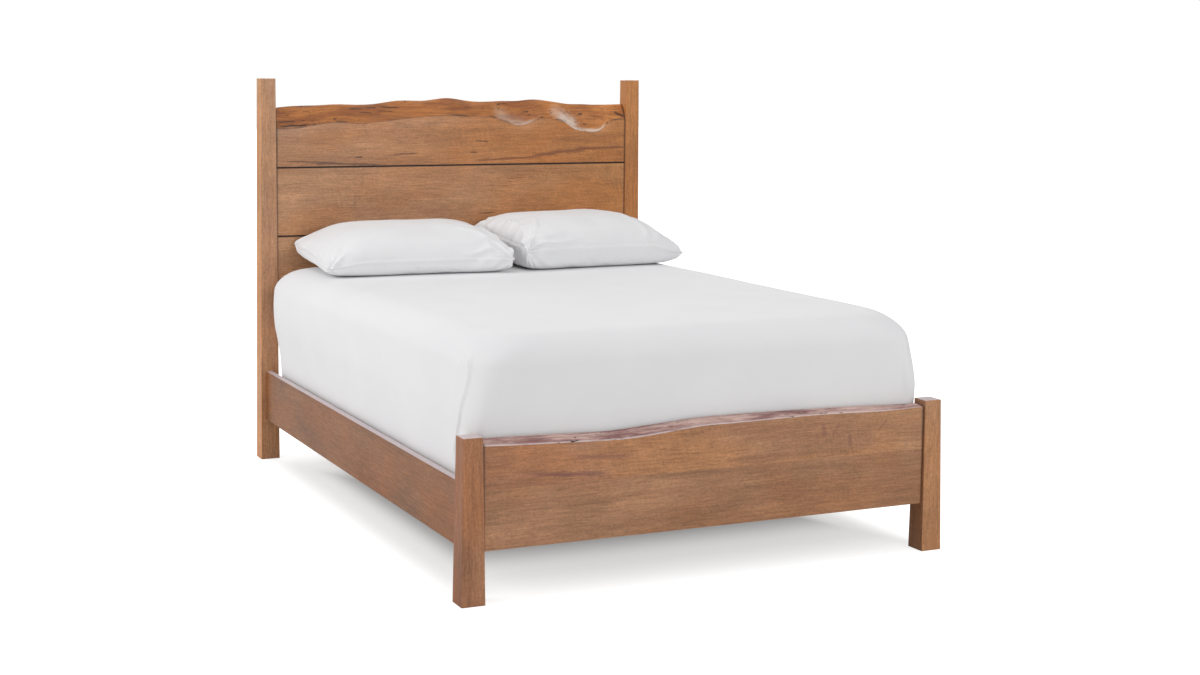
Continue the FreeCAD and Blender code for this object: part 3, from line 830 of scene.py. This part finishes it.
# Sheet
# One white cotton sheet is drawn tight over the mattress and tucked down inside the rails.
# Its spare cloth is folded into a slanting pleat at each foot corner.
sheet_low, sheet_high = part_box("sheet")
sheet_top = sheet_high.z
hem_z = sheet_low.z
shoulder_z = sheet_top - roll_drop
sheet_gap = 0.0013
side_rows = 52
sheet_half_x = half_x + sheet_gap
sheet_half_y = half_y + sheet_gap
hem_inset = half_x - spring_half_x
sheet_rows = rolled_rows(sheet_half_x, sheet_half_y, sheet_top, 0.0)
for step in range(1, side_rows + 1):
    fall = step / side_rows
    z = shoulder_z + (hem_z - shoulder_z) * (0.55 * fall + 0.45 * fall ** 3)
    inset = hem_inset * max(0.0, (belly_z - z) / (belly_z - hem_z))
    sheet_rows.append((sheet_half_x - inset, sheet_half_y - inset, corner_radii(z), z))

left_crease = [
    (-0.715, -0.935, 0.712), (-0.734, -0.96, 0.687), (-0.75, -0.973, 0.63), (-0.76, -0.97, 0.58),
    (-0.763, -0.943, 0.511), (-0.755, -0.9, 0.43), (-0.742, -0.85, 0.33),
]
left_lap = [
    (-0.72, -0.91, 0.712), (-0.749, -0.937, 0.685), (-0.763, -0.915, 0.63), (-0.763, -0.891, 0.567),
    (-0.763, -0.874, 0.513), (-0.757, -0.863, 0.43), (-0.745, -0.8, 0.33),
]
right_crease = [(0.69, -0.975, 0.71), (0.704, -1.014, 0.634), (0.706, -1.023, 0.531), (0.712, -1.01, 0.44)]
right_lap = [(0.72, -0.935, 0.71), (0.752, -0.97, 0.634), (0.758, -0.975, 0.531), (0.756, -0.975, 0.44)]
pleats = [(left_crease, left_lap, 0.007, 0.34, 0.42), (right_crease, right_lap, 0.006, 0.48, 0.55)]
head_crease = [(-0.763, 0.521, 0.69), (-0.763, 0.497, 0.675), (-0.763, 0.462, 0.572), (-0.76, 0.426, 0.5)]
pillow_crease = [(-0.6, 0.47, 0.745), (-0.2, 0.43, 0.745), (0.25, 0.42, 0.745)]
creases = [(head_crease, 0.0012, 0.02, 0.008), (pillow_crease, 0.0015, 0.016, 0.01)]
pleat_top = (0.715, 0.66)
pleat_reach = 0.16
fold_width = 0.008
ridge_width = 0.009
lap_share = 0.35
pillow_front = 0.46
head_swell = 0.016
swell_middle = 0.6
swell_reach = 0.2
broad_wave = 0.0016
small_wave = 0.0008
hanging_wave = 0.0012
hem_flare = 0.001


def eased(value, low, high):
    """A value's share of the way from low to high, slow at both ends."""
    share = share_of(value, low, high)
    return share * share * (3 - 2 * share)


def hump(distance, width):
    """A smooth rise, 1 in its middle and fading over a width."""
    return exp(-((distance / width) ** 2))


def line_at(line, z):
    """The place where a falling line crosses a height."""
    for start, end in zip(line, line[1:]):
        if z >= end[2]:
            break
    return Vector(start).lerp(Vector(end), share_of(z, start[2], end[2]))


def pleat_height(place, crease, lap, height, fade_low, fade_high):
    """A pressed pleat: highest along its crease, sharp on the foot side, with a low lap on the head side."""
    fold = line_at(crease, place.z)
    run = line_at(lap, place.z) - fold
    away = place - fold
    if away.length > pleat_reach:
        return 0.0
    ahead = away.dot(run) / run.length
    if ahead < 0:
        shape = hump(away.length, fold_width)
    elif ahead < run.length:
        shape = lap_share + (1 - lap_share) * hump(ahead, ridge_width)
    else:
        shape = lap_share * hump(ahead - run.length, fold_width)
    return height * shape * eased(place.z, *pleat_top) * eased(place.z, fade_low, fade_high)


def crease_height(place, line, height, headward, footward):
    """A soft crease: it rises slowly on the head side and falls off sharply on the foot side."""
    nearest = None
    for start, end in zip(line, line[1:]):
        start = Vector(start)
        run = Vector(end) - start
        share = limited((place - start).dot(run) / run.length_squared, 0.0, 1.0)
        spot = start + run * share
        gap = (place - spot).length
        if nearest is None or gap < nearest[0]:
            nearest = (gap, place.y - spot.y)
    gap, ahead = nearest
    width = headward if ahead > 0 else footward
    return 0.0 if gap > 4 * width else height * hump(gap, width)


def side_spread(value):
    """Columns across the sheet, closest at both corners."""
    corner = 0.56
    middle = 0.86
    if abs(value) < corner:
        return middle * value / corner
    return copysign(middle + (1 - middle) * (abs(value) - corner) / (1 - corner), value)


def foot_spread(value):
    """Rows along the sheet, closest at the foot's pleats and near at the head's corners."""
    share = (value + 1) / 2
    foot_rows = 0.4
    foot_part = 0.16
    if share < foot_rows:
        return -1 + foot_part * share / foot_rows
    rest = (share - foot_rows) / (1 - foot_rows)
    return foot_part - 1 + (2 - foot_part) * edge_spread(rest, 0.35)


def sheet_shape(place, normal):
    """Where a point of the drawn sheet lies with its waves and creases. It is pressed flat by the pillows."""
    swell = cos(limited((place.z - swell_middle) / swell_reach, -1.0, 1.0) * pi / 2) ** 2
    swell *= head_swell * eased(place.y, -0.6, 0.8)
    place = place + Vector((normal.x * swell, 0.0, 0.0))
    waves = broad_wave * noise(place * 2.6) + small_wave * noise(place * 7.0)
    side = share_of(place.z, sheet_top, shoulder_z)
    hang = noise(Vector((place.x * 9.0, place.y * 9.0, place.z * 1.2)))
    waves += side * hanging_wave * hang
    for crease in creases:
        waves += crease_height(place, *crease)
    for pleat in pleats:
        waves += pleat_height(place, *pleat)
    waves += hem_flare * eased(place.z, belly_z, mattress_low.z)
    waves -= max(0.0, waves) * (1 - side) * eased(place.y, pillow_front - 0.03, pillow_front)
    return place + normal * waves


sheet_spreads = (side_spread, foot_spread)
sheet_mesh = block_mesh("sheet_cotton", sheet_rows, bedding_y, (72, 130), False, sheet_spreads, sheet_shape)
sheet_cloth = woven_cloth("sheet_percale", (0.84, 0.84, 0.85), (0.825, 0.825, 0.837), 2600.0, 0.04)
sheet = new_piece(sheet_mesh, sheet_cloth, "mattress", "sheet_cotton", "sheet")
hem_thickness = sheet.modifiers.new("cloth thickness", "SOLIDIFY")
hem_thickness.thickness = 0.001
hem_thickness.offset = -1.0


# Pillows
# Two plump pillows in plain cotton cases lie side by side, each turned a little from the other.
# The cases are sewn all round, low on the front, and gather at the corners and where the two meet.
pillow_cotton = woven_cloth("pillow_percale", (0.83, 0.83, 0.84), (0.815, 0.815, 0.827), 2600.0, 0.04)
pillow_depth = 0.5
filling_frames = 12
underside_power = 2.2
seam_rise = 0.024
seam_ridge = 0.008
seam_draw = 0.004
seam_draw_width = 0.009
stitch_sharpness = 0.7
case_slack = 0.004
dent_height = 0.0035
crumple_height = 0.009
pucker_height = 0.002
inner_gather = (0.28, 0.019)
outer_gather = (0.19, 0.012)


def sewn_case(name, length, thickness, seam_share, inner, seed):
    """Two panels sewn together all round, full towards the inner end and thinner towards the outer one."""
    bm = bmesh.new()
    bmesh.ops.create_grid(bm, x_segments=110, y_segments=76, size=1.0)
    seam = bm.verts.layers.float.new("seam")
    copy = bmesh.ops.duplicate(bm, geom=bm.verts[:] + bm.edges[:] + bm.faces[:])
    under = {vert for vert in copy["geom"] if isinstance(vert, bmesh.types.BMVert)}
    for vert in bm.verts:
        u, v, _ = vert.co
        vert[seam] = float(max(abs(u), abs(v)) > 0.9999)
        u = edge_spread(u, 0.1)
        v = edge_spread(v, 0.1)
        across = max(0.0, 1 - abs(u) ** (6.0 if u * inner > 0 else 3.2))
        along = max(0.0, 1 - abs(v) ** 3.6)
        fullness = across ** 0.65 * along ** 0.6
        fullness *= 1 + 0.05 * noise(Vector((u * 2.2 + seed, v * 1.6, seed)))
        if vert in under:
            z = -thickness * seam_share * (1 - max(0.0, 1 - fullness) ** underside_power)
        else:
            z = thickness * (1 - seam_share) * fullness
        drawn_x = u * (1 - 0.03 * (1 - v * v)) * length / 2
        drawn_y = v * (1 - 0.06 * (1 - u * u)) * pillow_depth / 2
        vert.co = (drawn_x, drawn_y, z)
    bmesh.ops.remove_doubles(bm, verts=[vert for vert in bm.verts if vert[seam]], dist=1e-5)
    bmesh.ops.dissolve_verts(bm, verts=[vert for vert in bm.verts if len(vert.link_edges) == 2])
    bmesh.ops.recalc_face_normals(bm, faces=bm.faces)
    if bm.calc_volume(signed=True) < 0:
        bmesh.ops.reverse_faces(bm, faces=bm.faces)
    return finished_mesh(name, bm)


def fill_case(mesh):
    """Pushes the case out with its filling."""
    holder = placed("case_to_fill", mesh)
    cloth = holder.modifiers.new("filling", "CLOTH").settings
    cloth.quality = 7
    cloth.mass = 0.12
    cloth.tension_stiffness = 20.0
    cloth.compression_stiffness = 15.0
    cloth.shear_stiffness = 10.0
    cloth.bending_stiffness = 0.3
    cloth.shrink_min = -0.01
    cloth.use_pressure = True
    cloth.uniform_pressure_force = 0.6
    cloth.effector_weights.gravity = 0.0
    for step in range(1, filling_frames + 1):
        scene.frame_set(step)
    filled = holder.evaluated_get(bpy.context.evaluated_depsgraph_get()).data
    places = [vert.co.copy() for vert in filled.vertices]
    scene.frame_set(1)
    bpy.data.objects.remove(holder)
    for vert, place in zip(mesh.vertices, places):
        vert.co = place


def case_wrinkle(place, length, inner, seed, folds):
    """How far a point of the case stands out: gathers at the corners and the inner end, folds and dents."""
    u = 2 * place.x / length
    v = 2 * place.y / pillow_depth
    rise = max(0.0, place.z)
    spot = place + Vector((0.0, 0.0, seed))
    height = dent_height * noise(spot * 7.0)
    for corner_u in (-1, 1):
        for corner_v in (-1, 1):
            away_x = (1 - corner_u * u) * length / 2 + 0.5 * rise
            away_y = (1 - corner_v * v) * pillow_depth / 2 + rise
            away = hypot(away_x, away_y)
            turn = atan2(away_y, away_x + 1e-6) + 0.35 * noise(spot * 9.0)
            reach, depth = inner_gather if corner_u == inner else outer_gather
            gather = (0.5 + 0.5 * cos(17 * turn + seed * (2 + corner_v))) ** 2 - 0.35
            height += depth * gather * max(0.0, 1 - away / reach) ** 1.2 * eased(away, 0.0, 0.03)
    crumple = noise(Vector((place.y * 24.0, place.z * 7.0, seed)))
    crumple += 0.6 * noise(Vector((place.y * 55.0, place.z * 14.0, seed)))
    height += crumple_height * eased(u * inner, 0.66, 0.93) * crumple
    edge = max(0.0, 1 - (1 - max(abs(u), abs(v))) / 0.25)
    pucker = noise(Vector((place.x * 40.0, place.y * 40.0, place.z * 10.0 + seed)))
    height += pucker_height * edge * pucker
    for fold in folds:
        height += crease_height(place.xy, *fold)
    return height


def settle_case(mesh, length, thickness, seam_share, inner, droop, seed, folds):
    """Lays the filled case on the bed: flat below, its seam low at the front, and its wrinkles on it."""
    below_seam = thickness * seam_share
    sewn = [mark.value > 0.5 for mark in mesh.attributes["seam"].data]
    seam_heights = [vert.co.z for vert, mark in zip(mesh.vertices, sewn) if mark]
    seam_level = sum(seam_heights) / len(seam_heights)
    reach_x = max(abs(vert.co.x) for vert in mesh.vertices)
    reach_y = max(abs(vert.co.y) for vert in mesh.vertices)
    top = max(vert.co.z for vert in mesh.vertices) - seam_level
    bottom = min(vert.co.z for vert in mesh.vertices) - seam_level

    def seam_line(vert):
        """The seam's height, which climbs from front to back."""
        return seam_rise * (vert.co.y / pillow_depth + 0.5)

    def sinking(vert):
        """How far the thin outer end droops."""
        return droop * eased(-2 * vert.co.x * inner / length, 0.55, 1.0)

    for vert in mesh.vertices:
        vert.co.x *= length / 2 / reach_x
        vert.co.y *= pillow_depth / 2 / reach_y
        z = vert.co.z - seam_level
        if z > 0:
            share = z / top
            z = thickness * (1 - seam_share) * share
        else:
            share = 1 - max(0.0, 1 - z / bottom) ** underside_power
            z = -below_seam * share
        z += (1 - share) * seam_line(vert)
        vert.co.z = z - min(1.0, (z + below_seam) / below_seam) * sinking(vert)
    mesh.update()
    moves = []
    for vert, mark in zip(mesh.vertices, sewn):
        resting = eased(vert.co.z, -below_seam, 0.0)
        off_seam = vert.co.z + sinking(vert) - seam_line(vert)
        out = case_wrinkle(vert.co.copy(), length, inner, seed, folds) * resting
        moves.append(vert.normal * (out - seam_draw * hump(off_seam, seam_draw_width) + seam_ridge * mark))
    for vert, move in zip(mesh.vertices, moves):
        vert.co += move
    stitches = mesh.attributes.new("crease_edge", "FLOAT", "EDGE")
    for edge in mesh.edges:
        if all(sewn[index] for index in edge.vertices):
            stitches.data[edge.index].value = stitch_sharpness


left_folds = [
    ([(-0.28, -0.1), (-0.31, -0.235)], 0.0035, 0.016, 0.01),
    ([(0.2, -0.06), (0.27, -0.22)], 0.0035, 0.016, 0.01),
    ([(0.345, -0.235), (0.24, -0.17), (0.18, -0.13)], 0.005, 0.01, 0.008),
    ([(0.345, -0.235), (0.285, -0.12), (0.265, -0.02)], 0.006, 0.01, 0.008),
    ([(0.345, -0.235), (0.32, -0.09), (0.31, 0.03)], 0.006, 0.009, 0.007),
    ([(0.352, -0.19), (0.343, -0.05), (0.338, 0.08)], 0.005, 0.007, 0.006),
]
right_folds = [
    ([(0.14, -0.02), (0.19, -0.22)], 0.0035, 0.016, 0.01),
    ([(0.22, -0.08), (0.24, -0.22)], 0.0035, 0.016, 0.01),
    ([(0.22, 0.06), (0.285, -0.08), (0.325, -0.225)], 0.005, 0.011, 0.008),
    ([(-0.325, -0.235), (-0.255, -0.15), (-0.225, -0.06)], 0.005, 0.01, 0.008),
    ([(-0.325, -0.235), (-0.295, -0.1), (-0.285, 0.04)], 0.006, 0.01, 0.008),
]
outer_length = 0.717
lean = radians(3.0)
for side, length, seam_share, inner, droop, fan, seed, folds in (
    ("left", outer_length, 0.33, 1, 0.014, -3.0, 1.0, left_folds),
    ("right", 0.684, 0.43, -1, 0.03, 3.0, 5.0, right_folds),
):
    low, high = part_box("pillow_" + side)
    thickness = high.z - low.z - case_slack
    mesh = sewn_case("pillow_case_" + side, length, thickness, seam_share, inner, seed)
    fill_case(mesh)
    settle_case(mesh, length, thickness, seam_share, inner, droop, seed, folds)
    mesh.shade_smooth()
    mesh.transform(Euler((lean, 0.0, radians(fan))).to_matrix().to_4x4())
    drop = low.z - min(vert.co.z for vert in mesh.vertices)
    back = high.y - max(vert.co.y for vert in mesh.vertices)
    middle = (low.x + high.x) / 2 + inner * (outer_length - length) / 2
    mesh.transform(Matrix.Translation((middle, back, drop)))
    pillow = new_piece(mesh, pillow_cotton, "pillow_" + side, "pillow_cotton", "pillow_" + side)
    rounding = pillow.modifiers.new("rounding", "SUBSURF")
    rounding.levels = 1
    rounding.render_levels = 1


# Studio
# A pale floor whose glow, seen only by the camera, paints the shadow under the bed, soft light from above and
# from both sides, and the photograph's own viewpoint.
floor_bm = bmesh.new()
bmesh.ops.create_grid(floor_bm, x_segments=1, y_segments=1, size=40.0)
floor_mesh = finished_mesh("studio_floor", floor_bm)
floor = placed("studio_floor", floor_mesh)
floor_paint, tree, surface = new_material("studio_floor_paint")
# The camera sees the floor paler than the light bounced off it, and glowing by how deep a place lies inside
# the bed's footprint, the sides counted 2.5 times deeper: this paints the shadow under the bed, darkest far
# under it and white outside it.
seen = shader_node("LightPath", {}, tree).outputs["Is Camera Ray"]
under_bed = vectored("SUBTRACT", tuple(cad_high), vectored("ABSOLUTE", object_place(tree)))
under_bed = vectored("MULTIPLY", under_bed, (2.5, 1.0, 1.0))
under_bed = shader_node("SeparateXYZ", {0: under_bed}).outputs
under_bed = calculated("MINIMUM", under_bed[0], under_bed[1])
deep_shadow_glow = ramped(under_bed, 0.62, 0.28, 0.18, 0.57)
edge_shadow_glow = ramped(under_bed, 0.27, -0.25, 0.0, 0.43)
set_inputs(surface, {
    "Base Color": blended(seen, (0.72, 0.72, 0.72), (0.52, 0.52, 0.52)),
    "Roughness": 0.9, "Specular IOR Level": 0.0, "Emission Color": (1.0, 1.0, 1.0),
    "Emission Strength": product(seen, calculated("ADD", deep_shadow_glow, edge_shadow_glow)),
})
floor_mesh.materials.append(floor_paint)

world = bpy.data.worlds.new("studio_world")
world.use_nodes = True
scene.world = world
tree = world.node_tree
seen = shader_node("LightPath", {}, tree).outputs["Is Camera Ray"]
sky_light = {"Color": (1.0, 1.0, 1.0), "Strength": ramped(seen, 0.0, 1.0, 0.54, 1.0)}
set_inputs(tree.nodes["Background"], sky_light)

for name, place, aim, size, power in (
    ("overhead_softbox", (0.2, 0.8, 3.8), (0.1, 0.6, 0.0), (3.5, 3.5), 21.0),
    ("left_softbox", (-5.0, 0.2, 2.6), (0.0, 0.2, 0.5), (3.0, 2.5), 102.0),
    ("front_softbox", (1.5, -6.0, 2.8), (0.0, 0.0, 0.6), (3.5, 2.5), 98.0),
    ("back_softbox", (1.2, 4.6, 3.0), (0.0, 0.0, 0.6), (4.0, 2.0), 55.0),
):
    lamp = bpy.data.lights.new(name, "AREA")
    lamp.shape = "RECTANGLE"
    lamp.size, lamp.size_y = size
    lamp.energy = power
    softbox = placed(name, lamp)
    softbox.location = place
    softbox.rotation_euler = (Vector(aim) - Vector(place)).to_track_quat("-Z", "Y").to_euler()
    softbox.visible_camera = False

camera = bpy.data.cameras.new("camera")
camera.sensor_width = 36.0
camera.lens = 53.62
camera.shift_x = 0.05
camera.shift_y = -0.0979
viewer = placed("camera", camera)
viewpoint = Matrix.Translation((-2.607, -5.6078, 1.4839))
turn_to_head = Matrix.Rotation(-0.42098, 4, "Z")
tip_down = Matrix.Rotation(pi / 2 - 0.08159, 4, "X")
roll = Matrix.Rotation(0.00655, 4, "Z")
viewer.matrix_world = viewpoint @ turn_to_head @ tip_down @ roll
scene.camera = viewer
scene.view_settings.view_transform = "Standard"
